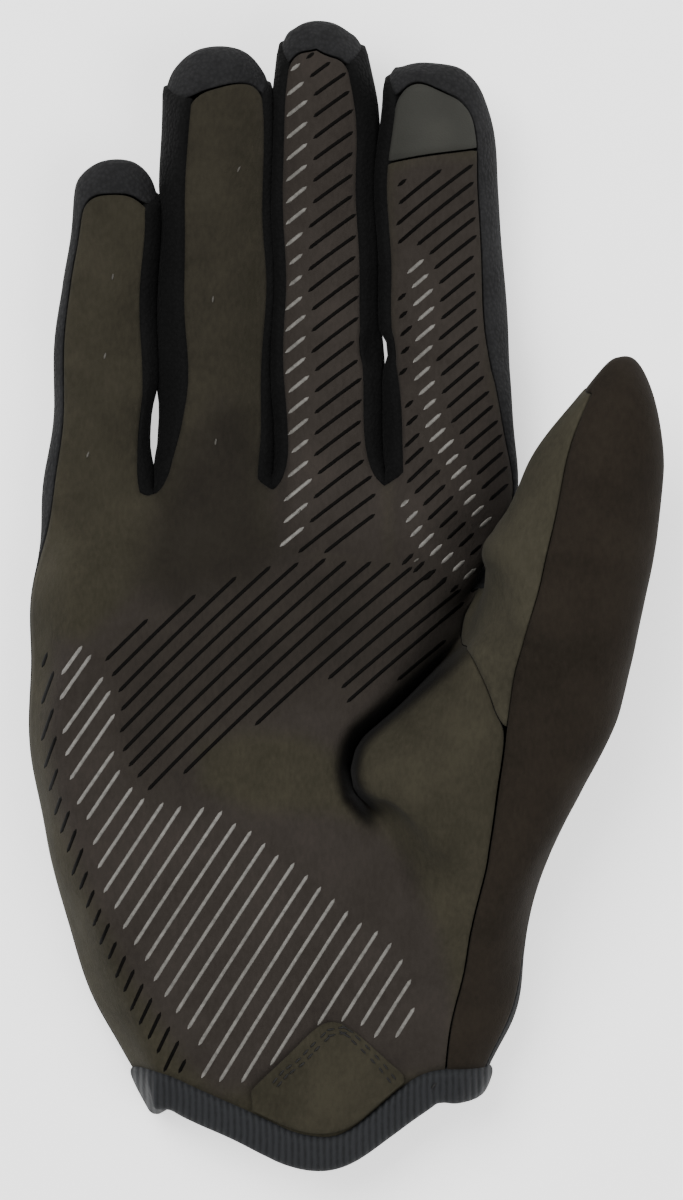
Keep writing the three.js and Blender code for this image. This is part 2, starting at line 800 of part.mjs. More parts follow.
function cuffLoop(surface) {
  const next = new Map();
  const used = new Set();
  for (const face of surface.faces) {
    face.corners.forEach((corner, index) => used.add(`${corner}>${face.corners[(index + 1) % 4]}`));
  }
  for (const pair of used) {
    const [start, end] = pair.split(">").map(Number);
    if (!used.has(`${end}>${start}`)) next.set(start, end);
  }
  const first = next.keys().next().value;
  const loop = [first];
  while (next.get(loop[loop.length - 1]) !== first) loop.push(next.get(loop[loop.length - 1]));
  return loop;
}

function bindingGeometry(surface, normals) {
  const loop = cuffLoop(surface);
  const vertices = [];
  const triangles = [];
  const size = BINDING_SECTION.length;
  const cornerX = PALM_ROWS[0].left * palmWidth;
  loop.forEach((corner, index) => {
    const point = surface.points[corner];
    const before = surface.points[loop[(index + loop.length - 1) % loop.length]];
    const after = surface.points[loop[(index + 1) % loop.length]];
    const along = after.clone().sub(before).normalize();
    const out = normals[corner].clone();
    out.addScaledVector(along, -out.dot(along)).normalize();
    const down = along.clone().cross(out).normalize();
    const middle = point.clone().addScaledVector(out, -wall / 2).addScaledVector(down, bindingGap);
    const nearCorner = Math.max(0, 1 - (point.x - cornerX) / sideRadius);
    const height = bindingHeight + cornerDrop * nearCorner;
    for (const shares of BINDING_SECTION) {
      const vertex = middle.clone();
      vertex.addScaledVector(out, shares.out * bindingThickness);
      vertex.addScaledVector(down, shares.down * height);
      vertex.z = Math.max(vertex.z, 0);
      vertices.push(vertex);
    }
    const here = index * size;
    const there = ((index + 1) % loop.length) * size;
    for (let side = 0; side < size; side += 1) {
      const other = (side + 1) % size;
      triangles.push(here + side, here + other, there + other, here + side, there + other, there + side);
    }
  });
  return closedGeometry(vertices, triangles);
}

// Wrist tab: a thin patch that lies on the palm's wrist.

const TAB_COLUMNS = 12;
const TAB_ROWS = 5;
// The lowest that the tab's edge is at its corners, and its step from the palm's own edge.
const TAB_EDGE = 0.9;

function tabTop(x) {
  const offset = x - TAB.apex * palmWidth;
  const drop = Math.hypot(offset, tabApexRadius) - tabApexRadius;
  return tabHeight - cuffDip - drop;
}

function tabGeometry(palm) {
  palm.computeVertexNormals();
  const target = new THREE.Mesh(palm, new THREE.MeshBasicMaterial());
  const ray = new THREE.Raycaster();
  const sky = palmDepth + thumbDepth;
  const vertices = [];
  for (let column = 0; column <= TAB_COLUMNS; column += 1) {
    const x = lerp(TAB.left, TAB.right, column / TAB_COLUMNS) * palmWidth;
    const bottom = -cuffDip * cuffBell(x) + TAB_EDGE;
    const top = Math.max(tabTop(x), bottom + TAB_EDGE);
    for (let row = 0; row <= TAB_ROWS; row += 1) {
      const y = lerp(bottom, top, row / TAB_ROWS);
      ray.set(new THREE.Vector3(x, y, sky), new THREE.Vector3(0, 0, -1));
      const hit = ray.intersectObject(target)[0].point.z;
      const underside = hit + tabGap;
      vertices.push(new THREE.Vector3(x, y, underside + tabThickness));
      vertices.push(new THREE.Vector3(x, y, underside));
    }
  }
  const place = (column, row) => 2 * (column * (TAB_ROWS + 1) + row);
  const triangles = [];
  for (let column = 0; column < TAB_COLUMNS; column += 1) {
    for (let row = 0; row < TAB_ROWS; row += 1) {
      const first = place(column, row);
      const second = place(column + 1, row);
      const third = place(column + 1, row + 1);
      const fourth = place(column, row + 1);
      triangles.push(first, second, third, first, third, fourth);
      triangles.push(first + 1, third + 1, second + 1, first + 1, fourth + 1, third + 1);
    }
  }
  const rim = [];
  for (let column = 0; column < TAB_COLUMNS; column += 1) rim.push(place(column, 0));
  for (let row = 0; row < TAB_ROWS; row += 1) rim.push(place(TAB_COLUMNS, row));
  for (let column = TAB_COLUMNS; column > 0; column -= 1) rim.push(place(column, TAB_ROWS));
  for (let row = TAB_ROWS; row > 0; row -= 1) rim.push(place(0, row));
  rim.forEach((start, index) => {
    const end = rim[(index + 1) % rim.length];
    triangles.push(end, start, start + 1, end, start + 1, end + 1);
  });
  return closedGeometry(vertices, triangles);
}

// Materials

const suede = { color: 0x3a3730, roughness: 0.93 };
const MATERIALS = {
  palm_panel: suede,
  index_touch_patch: { color: 0x474843, roughness: 0.75 },
  thumb_gusset: { color: 0x3e3b31, roughness: 0.93 },
  thumb_panel: { color: 0x292521, roughness: 0.93 },
  back_panel: { color: 0x1c1c20, roughness: 0.85 },
  fourchette_little_ring: { color: 0x17171a, roughness: 0.85 },
  fourchette_ring_middle: { color: 0x17171a, roughness: 0.85 },
  fourchette_middle_index: { color: 0x17171a, roughness: 0.85 },
  wrist_tab: suede,
  cuff_binding: { color: 0x2d2f31, roughness: 0.7 },
};

// Assembly

const glove = new THREE.Group();

function addPiece(name, geometry) {
  const material = new THREE.MeshStandardMaterial({ ...MATERIALS[name], metalness: 0 });
  const mesh = new THREE.Mesh(geometry, material);
  mesh.name = name;
  glove.add(mesh);
}

const { split, splitPoints } = buildHand();
buildWeb(split);
const root = buildKnuckles(split, splitPoints);
buildFingers(root);
buildThumb(split);

const surface = smoothThroughPoints();
const normals = normalsOf(surface);
const panelNames = [...new Set(surface.faces.map((face) => face.panel))];
for (const name of panelNames) addPiece(name, panelGeometry(surface, normals, name));
const palmMesh = glove.children.find((mesh) => mesh.name === "palm_panel");
addPiece("wrist_tab", tabGeometry(palmMesh.geometry));
addPiece("cuff_binding", bindingGeometry(surface, normals));

// The origin is the middle of the glove's footprint, on the surface that it lies on.
const bounds = new THREE.Box3().setFromObject(glove);
const centre = bounds.getCenter(new THREE.Vector3());
glove.position.set(-centre.x, -centre.y, -bounds.min.z);

export default glove;
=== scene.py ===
"""Cycling glove: the finished look of each panel, with its grip stripes and stitches.

Everything is in metres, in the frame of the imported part: +X to the thumb, +Y to the
fingertips, +Z up out of the palm. Tables of places are in millimetres.
"""

import math

import bmesh
import bpy
import numpy as np
from bpy.props import FloatProperty, FloatVectorProperty, IntProperty, PointerProperty
from mathutils import Matrix, Vector, noise
from mathutils.bvhtree import BVHTree


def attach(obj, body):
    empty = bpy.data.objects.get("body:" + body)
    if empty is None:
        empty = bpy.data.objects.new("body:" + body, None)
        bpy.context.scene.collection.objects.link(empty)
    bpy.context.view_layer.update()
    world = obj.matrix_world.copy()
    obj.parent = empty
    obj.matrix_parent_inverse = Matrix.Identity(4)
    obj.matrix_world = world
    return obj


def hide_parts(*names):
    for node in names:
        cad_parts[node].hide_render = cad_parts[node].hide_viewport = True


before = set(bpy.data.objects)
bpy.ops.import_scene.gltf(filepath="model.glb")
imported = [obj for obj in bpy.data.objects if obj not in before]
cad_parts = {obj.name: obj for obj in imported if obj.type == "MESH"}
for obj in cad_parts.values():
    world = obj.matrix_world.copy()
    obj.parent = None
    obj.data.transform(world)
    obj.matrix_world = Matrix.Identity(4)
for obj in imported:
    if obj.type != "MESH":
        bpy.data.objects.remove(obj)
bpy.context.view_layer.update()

bl_info = {
    "name": "Cycling glove",
    "version": (1, 0, 0),
    "blender": (4, 5, 0),
    "location": "3D View > Sidebar > Glove",
    "description": "Builds the cloth, grip stripes and stitches of a cycling glove",
    "category": "Object",
}

MM = 0.001

# How a CAD node becomes a quad mesh: points closer than this are one, triangles that bend
# and skew less than these angles become quads, and edges sharper than this stay tight.
MERGE_DISTANCE = 0.02 * MM
QUAD_BEND = math.radians(50)
QUAD_SKEW = math.radians(60)
SHARP_ANGLE = math.radians(55)
CLOTH_TIGHTNESS = 0.75
TAPE_TIGHTNESS = 0.3

# Seeds of the cloth's waves and of the stripes' small turns.
FOLD_SEED = 4
STRIPE_SEED = 7

# Heights above the floor between which the folds set in, so that the back stays flat, and
# those between which the crease does. The crease's bottom is that wide.
FOLD_HEIGHTS = (1.5 * MM, 6 * MM)
CREASE_HEIGHTS = (4 * MM, 9 * MM)
CREASE_BOTTOM = 2.4 * MM

# From here on, tables of places are in millimetres from the frame's origin. The deep crease
# round the ball of the thumb, from the thumb's root to its lower end.
CREASE_LINE = [
    (25.5, -4.5), (22.2, -9.9), (13.3, -17.6), (6.5, -23.3), (3.1, -26.3),
    (1.6, -29.1), (0.8, -33.4), (1.6, -37.8), (5.0, -41.2), (8.2, -43.4),
]

# Shallow folds of the palm side: two ends, the fold's width and its depth. A negative
# depth is a ridge.
FOLDS = [
    (-50, 36, -40, 33, 2.2, 0.5), (-49, 52, -40, 50, 2.0, 0.4), (-50, 20, -41, 17, 2.4, 0.4),
    (-31, 42, -17, 38, 2.4, 0.5), (-30, 63, -18, 61, 2.2, 0.4), (-31, 24, -17, 21, 2.4, 0.4),
    (-12, 46, 5, 43, 2.4, 0.5), (-12, 69, 4, 67, 2.2, 0.4), (-10, 27, 6, 24, 2.4, 0.4),
    (10, 45, 27, 42, 2.4, 0.5), (10, 62, 26, 61, 2.0, 0.4), (12, 27, 30, 22, 2.4, 0.4),
    (-36, 19, -33, 9, 2.0, 0.9), (-14, 22, -12, 12, 2.0, 0.9), (9, 21, 10, 10, 2.0, 0.9),
    (-38, 17, -39, 8, 1.8, -0.5), (-11, 20, -9, 9, 1.8, -0.5), (12, 19, 13, 8, 1.8, -0.5),
    (-48, 6, -22, 12, 3.4, 0.5), (-20, 9, 6, 6, 3.2, 0.5),
    (9, -44, 20, -55, 3.0, 0.6), (12, -47, 26, -52, 2.6, -0.4), (17, -28, 27, -22, 3.0, 0.4),
    (30, -6, 43, -14, 2.6, 0.5), (33, 8, 45, 3, 2.4, 0.5), (40, 20, 50, 16, 2.2, 0.4),
    (-46, -44, -38, -52, 3.0, 0.4), (-30, -82, -20, -70, 2.6, 0.6), (-18, -84, -13, -72, 2.4, -0.4),
    (12, -80, 22, -68, 2.6, 0.6), (-2, -76, 3, -62, 3.0, 0.4), (18, -86, 24, -76, 2.2, -0.5),
]

# Where the fingers part, so that the floor shows between them: a place, the slit's half
# length and how far each side draws back, or comes closer where that is below zero.
SLIT_REACH = 4 * MM
SLITS = [(-35.3, 31.6, 6.5, 0.1), (6.8, 46.2, 3.4, 0.9), (27.7, 7.9, 2.6, -0.8)]

# Areas of the palm's colours. First the printed ground under the stripes, which is greyer
# than the plain suede, then the parts darkened by painted shade.
HEEL_GROUND = [
    (-54.5, -9), (-56, -24), (-54, -40), (-48, -56), (-40, -72), (-30, -88), (-24, -94),
    (20, -90), (21, -78), (18, -64), (12, -50), (7, -44), (-3, -41), (-17, -40.5),
    (-27, -36), (-27, -28.5), (-19, -25.5), (-8, -26.5), (-1, -30), (3, -25), (13, -16),
    (22, -8), (22, 2), (8, 6), (-13, 10), (-30, 4), (-38, 2), (-44, -4), (-48, -8),
]
MIDDLE_GROUND = [
    (-14, 8), (-13.8, 40), (-14.6, 92), (-10, 103), (-6, 105), (-1, 104), (4, 99), (6, 60),
    (8, 30), (9, 4),
]
INDEX_GROUND = [
    (8, 4), (8.6, 80), (17, 83), (27, 82), (27, 55), (28.6, 38), (34.5, 26), (31, 10),
    (26, 0), (22, -8),
]
# Painted shade darkens the little and ring finger strips, and most of all the roots between them.
LITTLE_STRIP = [(-52, 16), (-52, 80), (-36, 80), (-36, 16)]
RING_STRIP = [(-34, 20), (-34, 102), (-15, 102), (-13, 20)]
LITTLE_RING_PAINTED_SHADE = [
    (-40, 2), (-37, 14), (-33, 26), (-24, 40), (-17, 36), (-13, 20), (-10, 8), (-16, 0), (-32, -3),
]

# Small moves of the cloth along the glove: a place, its reach and how far it moves right
# and up the hand. They round the seams under the finger caps and close the thumb's root.
NUDGES = [
    (-48.3, 75.6, 3.0, 0, 1.3), (-38.6, 75.6, 3.0, 0, 1.3), (-43.6, 79.0, 3.0, 0, -0.5),
    (-27.6, 94.6, 2.8, 0, 0.9), (-16.4, 93.6, 3.2, 0, 1.5), (-22.0, 98.0, 3.2, 0, -0.6),
    (-9.4, 101.0, 3.0, 0, 1.1), (1.4, 100.8, 3.0, 0, 1.4), (-4.0, 104.4, 3.0, 0, -0.5),
    (12.0, 95.6, 3.4, 0, 1.6), (23.0, 93.6, 3.4, 0, 1.6), (17.0, 98.0, 3.2, 0, -0.6),
    (31.0, 8.5, 6.0, -1.8, 0),
]

# Families of grip stripes. The spine is the line that they cross at equal steps, angles
# give their slope at its start and its end, bend turns them as they run to the right.
# They are printed within the dark area, and silver within the silver one.
HEEL_SILVER = [
    (-53.5, -9.5), (-53.5, -19.9), (-52.7, -29.3), (-51.6, -37.4), (-47.5, -44.8),
    (-46.3, -53.8), (-40.9, -64.6), (-35.2, -73.6), (-29.0, -83.1), (-27.1, -85.9),
    (-27.1, -92.3), (-16.5, -92.3), (-14.6, -89.7), (-10.5, -85.1), (-4.1, -80.6),
    (1.2, -80.6), (7.6, -84.8), (13.5, -82.5), (13.8, -75.7), (12.2, -69.0), (10.3, -66.1),
    (5.0, -61.4), (-0.5, -57.0), (-5.6, -52.5), (-10.9, -48.5), (-16.1, -44.4),
    (-21.1, -40.8), (-24.3, -39.7), (-31.1, -38.7), (-34.8, -38.2), (-38.2, -37.0),
    (-40.1, -34.8), (-42.2, -31.9), (-42.9, -27.4), (-42.7, -19.9), (-45.6, -12.9),
    (-47.3, -10.4), (-49.7, -8.5),
]
UPPER_PALM = [
    (-45.9, -11.4), (-42.9, -8.0), (-36.3, -4.1), (-27.1, 0.6), (-15.8, 5.6), (-2.6, 7.3),
    (10.6, 6.6), (18.2, 4.7), (23.5, 0.6), (22.0, -5.7), (16.3, -12.4), (9.7, -16.6),
    (0.3, -20.9), (-2.6, -15.8), (-10.1, -20.9), (-19.5, -26.5), (-27.1, -32.1),
    (-36.5, -37.8), (-40.7, -34.0), (-42.2, -27.4), (-42.7, -19.9), (-44.8, -15.1),
]
LEFT_EDGE = [
    (-57.3, -9.4), (-54.3, -10.4), (-54.2, -19.9), (-53.6, -29.3), (-52.4, -37.8),
    (-48.6, -45.3), (-47.2, -53.8), (-41.9, -64.6), (-36.3, -73.6), (-29.8, -84.0),
    (-28.2, -90.9), (-33.7, -90.9), (-38.4, -82.2), (-44.1, -70.9), (-49.6, -57.6),
    (-54.1, -44.4), (-56.9, -31.2),
]
MIDDLE_PRINT = [
    (-13.3, 97.5), (-10.1, 101.2), (-6.9, 102.6), (-1.1, 102.0), (3.1, 97.8), (3.9, 89.6),
    (4.1, 74.5), (4.7, 55.6), (5.4, 36.7), (6.4, 23.5), (6.8, 14.1), (-0.6, 7.6),
    (-12.4, 7.6), (-11.6, 14.1), (-11.2, 23.5), (-12.0, 36.7), (-12.7, 55.6), (-13.5, 74.5),
    (-13.6, 89.6),
]
MIDDLE_SILVER = [
    (-12.2, 103.2), (-8.4, 104), (-6.4, 95.2), (-6.3, 74.5), (-7.4, 63.2), (-6.8, 51.8),
    (-6.3, 42.4), (-6.0, 29.2), (-5.6, 19.8), (-7.6, 10.3), (-11, 5), (-16.4, 5),
    (-13.9, 17.9), (-12.0, 29.2), (-12.3, 42.4), (-12.5, 55.6), (-12.6, 74.5), (-12.4, 93.4),
]
INDEX_PRINT = [
    (9.9, 77.9), (17.1, 79.6), (25.3, 82.0), (25.7, 74.5), (25.2, 59.4), (25.8, 50.0),
    (26.6, 43.2), (27.9, 37.5), (30.2, 30.7), (32.3, 27.1), (33.6, 25.0), (31.7, 21.7),
    (30.6, 17.7), (28.3, 9.8), (26.1, 3.2), (23.6, -0.2), (20.0, -0.5), (10.6, 4.3),
    (9.9, 14.1), (11.2, 27.3), (10.2, 40.5), (9.9, 55.6), (9.6, 70.7),
]
INDEX_SILVER_INNER = [
    (12.2, 66), (16.6, 62), (17.6, 52), (17.0, 44), (18.6, 34), (22.4, 27), (25.4, 20),
    (29.4, 13), (30.6, 8.6), (27.6, 8.2), (24.4, 13), (20.0, 21), (15.2, 30), (12.4, 42),
    (13.4, 52), (11.6, 60),
]
INDEX_SILVER_OUTER = [
    (9.6, 24.5), (12.6, 19.0), (15.4, 13.4), (21.4, 8.4), (27.6, 3.6), (28.6, 0.8),
    (25.0, 0.6), (18.6, 4.6), (12.0, 10.2), (9.4, 17.0),
]

# The palm's printed ground and its painted shade: areas with their strengths, and how wide
# their soft edge is.
PRINTED_GROUNDS = [(HEEL_GROUND, 1), (MIDDLE_GROUND, 1), (INDEX_GROUND, 1)]
PRINTED_EDGE = 5 * MM
PAINTED_SHADES = [(LITTLE_RING_PAINTED_SHADE, 0.95), (RING_STRIP, 0.4), (LITTLE_STRIP, 0.25), (UPPER_PALM, 0.5)]
PAINTED_SHADE_EDGE = 14 * MM

# A stripe's line runs that far to each side of its spine and wobbles by up to that many
# degrees. Shorter printed runs are left out. A bar's rim sinks that deep into the cloth.
LONGEST_BAR = 70
STRIPE_WOBBLE = 0.5
SHORTEST_BAR = 2.4
SUNK_RIM = 0.05

# Each family: spine, its two angles, bend in degrees a millimetre, the pitch along the
# spine, the printed area and the silver areas.
STRIPES = [
    {"spine": [(-84, -60.6), (36, -60.6)], "angles": (57.5, 57), "bend": -0.05, "pitch": 3.9,
     "print": HEEL_SILVER, "silver": [HEEL_SILVER]},
    {"spine": [(10, -54), (-38, 6)], "angles": (42, 44), "bend": -0.1, "pitch": 2.8,
     "print": UPPER_PALM, "silver": []},
    {"spine": [(-57, -14), (-30, -88)], "angles": (70, 64), "bend": 0, "pitch": 3.6,
     "print": LEFT_EDGE, "silver": []},
    {"spine": [(-6, 2), (-5, 110)], "angles": (39, 36), "bend": -0.2, "pitch": 3.95,
     "print": MIDDLE_PRINT, "silver": [MIDDLE_SILVER]},
    {"spine": [(24, -10), (18, 90)], "angles": (44, 37), "bend": -0.2, "pitch": 3.3,
     "print": INDEX_PRINT, "silver": [INDEX_SILVER_INNER, INDEX_SILVER_OUTER]},
]

# Stitches: the wrist tab's edge with its rows' distances from it, single light specks with
# their turn in degrees, and the loose end of the cuff's thread.
TAB_ROWS = (-1.2, -2.3)
SPECK_LENGTH = 0.8
TAB_EDGE = [
    (-14.4, -91.2), (-12.2, -88.6), (-9.2, -86.4), (-6.9, -83.9), (-3.5, -80.6), (0.3, -79.9),
    (2.0, -80.9), (5.2, -84.0), (8.4, -87.4), (11.0, -90.8),
]
LIGHT_SPECKS = [
    (-43.5, 59.9, 80), (-45.0, 45.0, 75), (-48.2, 26.4, 70), (-19.7, 80.0, 65),
    (-24.6, 55.6, 85), (-24.1, 28.8, 80), (-8.4, 15.6, 60), (13.7, 6.5, 35),
]
THREAD_END = [(16.4, -93.6), (17.0, -92.4), (17.9, -91.9)]

# How far the suede's clouds and hairs go above and below its colour.
SUEDE_CONTRAST = 0.3
PRINTED_CONTRAST = 0.22
# The last is for the painted shade that darkens the suede deep in the crease.
CREASE_SHADE_CONTRAST = 0.2

# Stripes and stitches feel for the cloth from this height.
ABOVE_THE_GLOVE = 0.2

# The stage: the floor's size and how far it lies under the glove, the world's light, each
# lamp's name, place, size and power, and the camera's place above the palm.
FLOOR_SIZE = 3
FLOOR_DROP = 0.4 * MM
WORLD_LIGHT = 0.55
LIGHTS = [("key", (-0.9, 1.1, 2.2), 1.6, 76), ("fill", (1.3, -0.7, 1.9), 1.8, 36)]
CAMERA_CENTRE = (-0.0004, -0.001)
PALM_HEIGHT = 0.015
SENSOR_HEIGHT = 36


def add_object(name, mesh):
    piece = bpy.data.objects.new(name, mesh)
    bpy.context.scene.collection.objects.link(piece)
    return piece


def finish_piece(piece, material, slot, *nodes):
    """Gives a piece its material and its place in the frame."""
    piece.data.materials.clear()
    piece.data.materials.append(material)
    piece.data.polygons.foreach_set("use_smooth", [True] * len(piece.data.polygons))
    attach(piece, "root")
    if nodes:
        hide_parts(*nodes)


# Cloth


def merged_copy(node, tightness):
    """A quad mesh of a CAD node. Its sharp edges and corners stay tight when smoothed."""
    shape = bmesh.new()
    shape.from_mesh(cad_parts[node].data)
    bmesh.ops.remove_doubles(shape, verts=shape.verts, dist=MERGE_DISTANCE)
    bmesh.ops.join_triangles(
        shape,
        faces=shape.faces,
        angle_face_threshold=QUAD_BEND,
        angle_shape_threshold=QUAD_SKEW,
    )
    edge_crease = shape.edges.layers.float.new("crease_edge")
    for edge in shape.edges:
        if len(edge.link_faces) == 2 and edge.calc_face_angle() > SHARP_ANGLE:
            edge[edge_crease] = tightness
    corner_crease = shape.verts.layers.float.new("crease_vert")
    for vertex in shape.verts:
        if sum(edge[edge_crease] > 0 for edge in vertex.link_edges) > 2:
            vertex[corner_crease] = tightness
    mesh = bpy.data.meshes.new(node)
    shape.to_mesh(mesh)
    shape.free()
    return mesh


def smoothed(mesh, levels):
    """The mesh after that many steps of subdivision."""
    helper = add_object("smoothing", mesh)
    modifier = helper.modifiers.new("Subdivision", "SUBSURF")
    modifier.levels = levels
    modifier.render_levels = levels
    result = bpy.data.meshes.new_from_object(
        helper.evaluated_get(bpy.context.evaluated_depsgraph_get())
    )
    bpy.data.objects.remove(helper)
    bpy.data.meshes.remove(mesh)
    return result


def points_of(mesh):
    """The mesh's vertices, one row each."""
    values = np.empty(len(mesh.vertices) * 3)
    mesh.vertices.foreach_get("co", values)
    return values.reshape(-1, 3)


def nearest_on_line(points, line):
    """For each point: its distance from the line, the way to it and how far along it is."""
    corners = np.array(line) * MM
    best = np.full(len(points), np.inf)
    away = np.zeros((len(points), 2))
    along = np.zeros(len(points))
    for index in range(len(corners) - 1):
        start, end = corners[index], corners[index + 1]
        step = end - start
        share = np.clip(((points - start) @ step) / (step @ step), 0, 1)
        offset = points - (start + share[:, None] * step)
        distance = np.hypot(offset[:, 0], offset[:, 1])
        nearer = distance < best
        best[nearer] = distance[nearer]
        away[nearer] = offset[nearer]
        along[nearer] = (index + share[nearer]) / (len(corners) - 1)
    return best, away, along


def ramp(values, low, high):
    """0 up to the low value, 1 from the high one on, and a smooth step between them."""
    share = np.clip((values - low) / (high - low), 0, 1)
    return share * share * (3 - 2 * share)


def nearness_to_slit(flat, x, y, half_length):
    """1 at a slit's middle, fading to 0 beside it and past its ends."""
    across = (flat[:, 0] - x * MM) / SLIT_REACH
    along = (flat[:, 1] - y * MM) / (half_length * MM)
    return np.exp(-(across**2) - along**4)


def fold_cloth(mesh, sizes):
    """Moves the cloth by its folds. Every panel passes through it, so seams stay together."""
    points = points_of(mesh)
    flat = points[:, :2].copy()
    raised = ramp(points[:, 2], *FOLD_HEIGHTS)
    shift = np.zeros_like(points)

    noise.seed_set(FOLD_SEED)
    soft = np.array([noise.noise_vector(Vector(point) / sizes.soft_length) for point in points])
    fine = np.array([noise.noise(Vector(point) / sizes.fine_length) for point in points])
    shift += soft * sizes.soft_depth * raised[:, None]
    shift[:, 2] += fine * sizes.fine_depth * raised

    for x0, y0, x1, y1, width, depth in FOLDS:
        distance, _, along = nearest_on_line(flat, [(x0, y0), (x1, y1)])
        fade = np.sin(np.pi * np.clip(along * 0.8 + 0.1, 0, 1))
        dent = np.exp(-((distance / (width * MM)) ** 2)) * fade
        shift[:, 2] -= dent * depth * MM * raised

    # The crease draws the cloth in from both sides, and fades out at its two ends.
    distance, away, along = nearest_on_line(flat, CREASE_LINE)
    reach = distance / sizes.crease_reach
    strength = reach * np.exp(0.5 * (1 - reach * reach))
    ends = ramp(along, 0, 0.12) * ramp(1 - along, 0, 0.25)
    upper = ramp(points[:, 2], *CREASE_HEIGHTS) * ends
    direction = away / np.maximum(distance, 1e-9)[:, None]
    shift[:, :2] -= direction * (strength * upper * sizes.crease_pinch)[:, None]
    bottom = np.exp(-((distance / CREASE_BOTTOM) ** 2))
    shift[:, 2] -= bottom * upper * sizes.crease_drop

    for x, y, nudge_reach, right, up in NUDGES:
        offset = np.hypot(flat[:, 0] - x * MM, flat[:, 1] - y * MM) / (nudge_reach * MM)
        nearness = np.exp(-offset * offset) * MM * raised
        shift[:, 0] += nearness * right
        shift[:, 1] += nearness * up

    for x, y, half_length, opening in SLITS:
        side = np.sign(flat[:, 0] - x * MM)
        shift[:, 0] += side * nearness_to_slit(flat, x, y, half_length) * opening * MM

    points += shift
    points[:, 2] = np.maximum(points[:, 2], 0)
    mesh.vertices.foreach_set("co", points.ravel())
    mesh.update()


def swell(mesh, distance):
    """Fills a piece out by that much, so that it meets its neighbours, but not at the slits."""
    normals = np.empty(len(mesh.vertices) * 3)
    mesh.vertices.foreach_get("normal", normals)
    points = points_of(mesh)
    reach = np.full(len(points), distance)
    for x, y, half_length, opening in SLITS:
        if opening > 0:
            reach *= 1 - nearness_to_slit(points, x, y, half_length)
    points += normals.reshape(-1, 3) * reach[:, None]
    mesh.vertices.foreach_set("co", points.ravel())


def cloth_piece(name, node, sizes, tightness=CLOTH_TIGHTNESS, fullness=0.0):
    """One cloth of the glove: its CAD node's shape, smoothed, filled out and folded."""
    mesh = smoothed(merged_copy(node, tightness), sizes.smoothing)
    mesh.name = name
    swell(mesh, fullness)
    fold_cloth(mesh, sizes)
    return add_object(name, mesh)


def inside_share(points, area, edge):
    """1 within an area, 0 outside it, with a soft edge of that width."""
    corners = np.array(area) * MM
    inside = np.zeros(len(points), dtype=bool)
    for index in range(len(corners)):
        start, end = corners[index - 1], corners[index]
        rises = (start[1] > points[:, 1]) != (end[1] > points[:, 1])
        height = end[1] - start[1] if end[1] != start[1] else 1e-12
        crossing = start[0] + (points[:, 1] - start[1]) / height * (end[0] - start[0])
        inside ^= rises & (points[:, 0] < crossing)
    distance, _, _ = nearest_on_line(points, [*area, area[0]])
    signed = np.where(inside, distance, -distance)
    return ramp(signed, -edge / 2, edge / 2)


def mark_areas(mesh, areas, name, edge):
    """Keeps on the mesh how far each point lies within the areas, with a soft edge."""
    points = points_of(mesh)[:, :2]
    share = np.zeros(len(points))
    for area, strength in areas:
        share = np.maximum(share, inside_share(points, area, edge) * strength)
    mesh.attributes.new(name, "FLOAT", "POINT").data.foreach_set("value", share)


def mark_painted_crease_shade(mesh, width):
    """Keeps on the mesh how deep in the crease each point lies, for the painted shade that darkens
    it.
    """
    distance, _, along = nearest_on_line(points_of(mesh)[:, :2], CREASE_LINE)
    ends = ramp(along, 0.02, 0.2) * ramp(1 - along, 0, 0.15)
    share = (1 - ramp(distance, width * 0.7, width * 2)) * ends
    mesh.attributes.new("crease", "FLOAT", "POINT").data.foreach_set("value", share)


# Materials


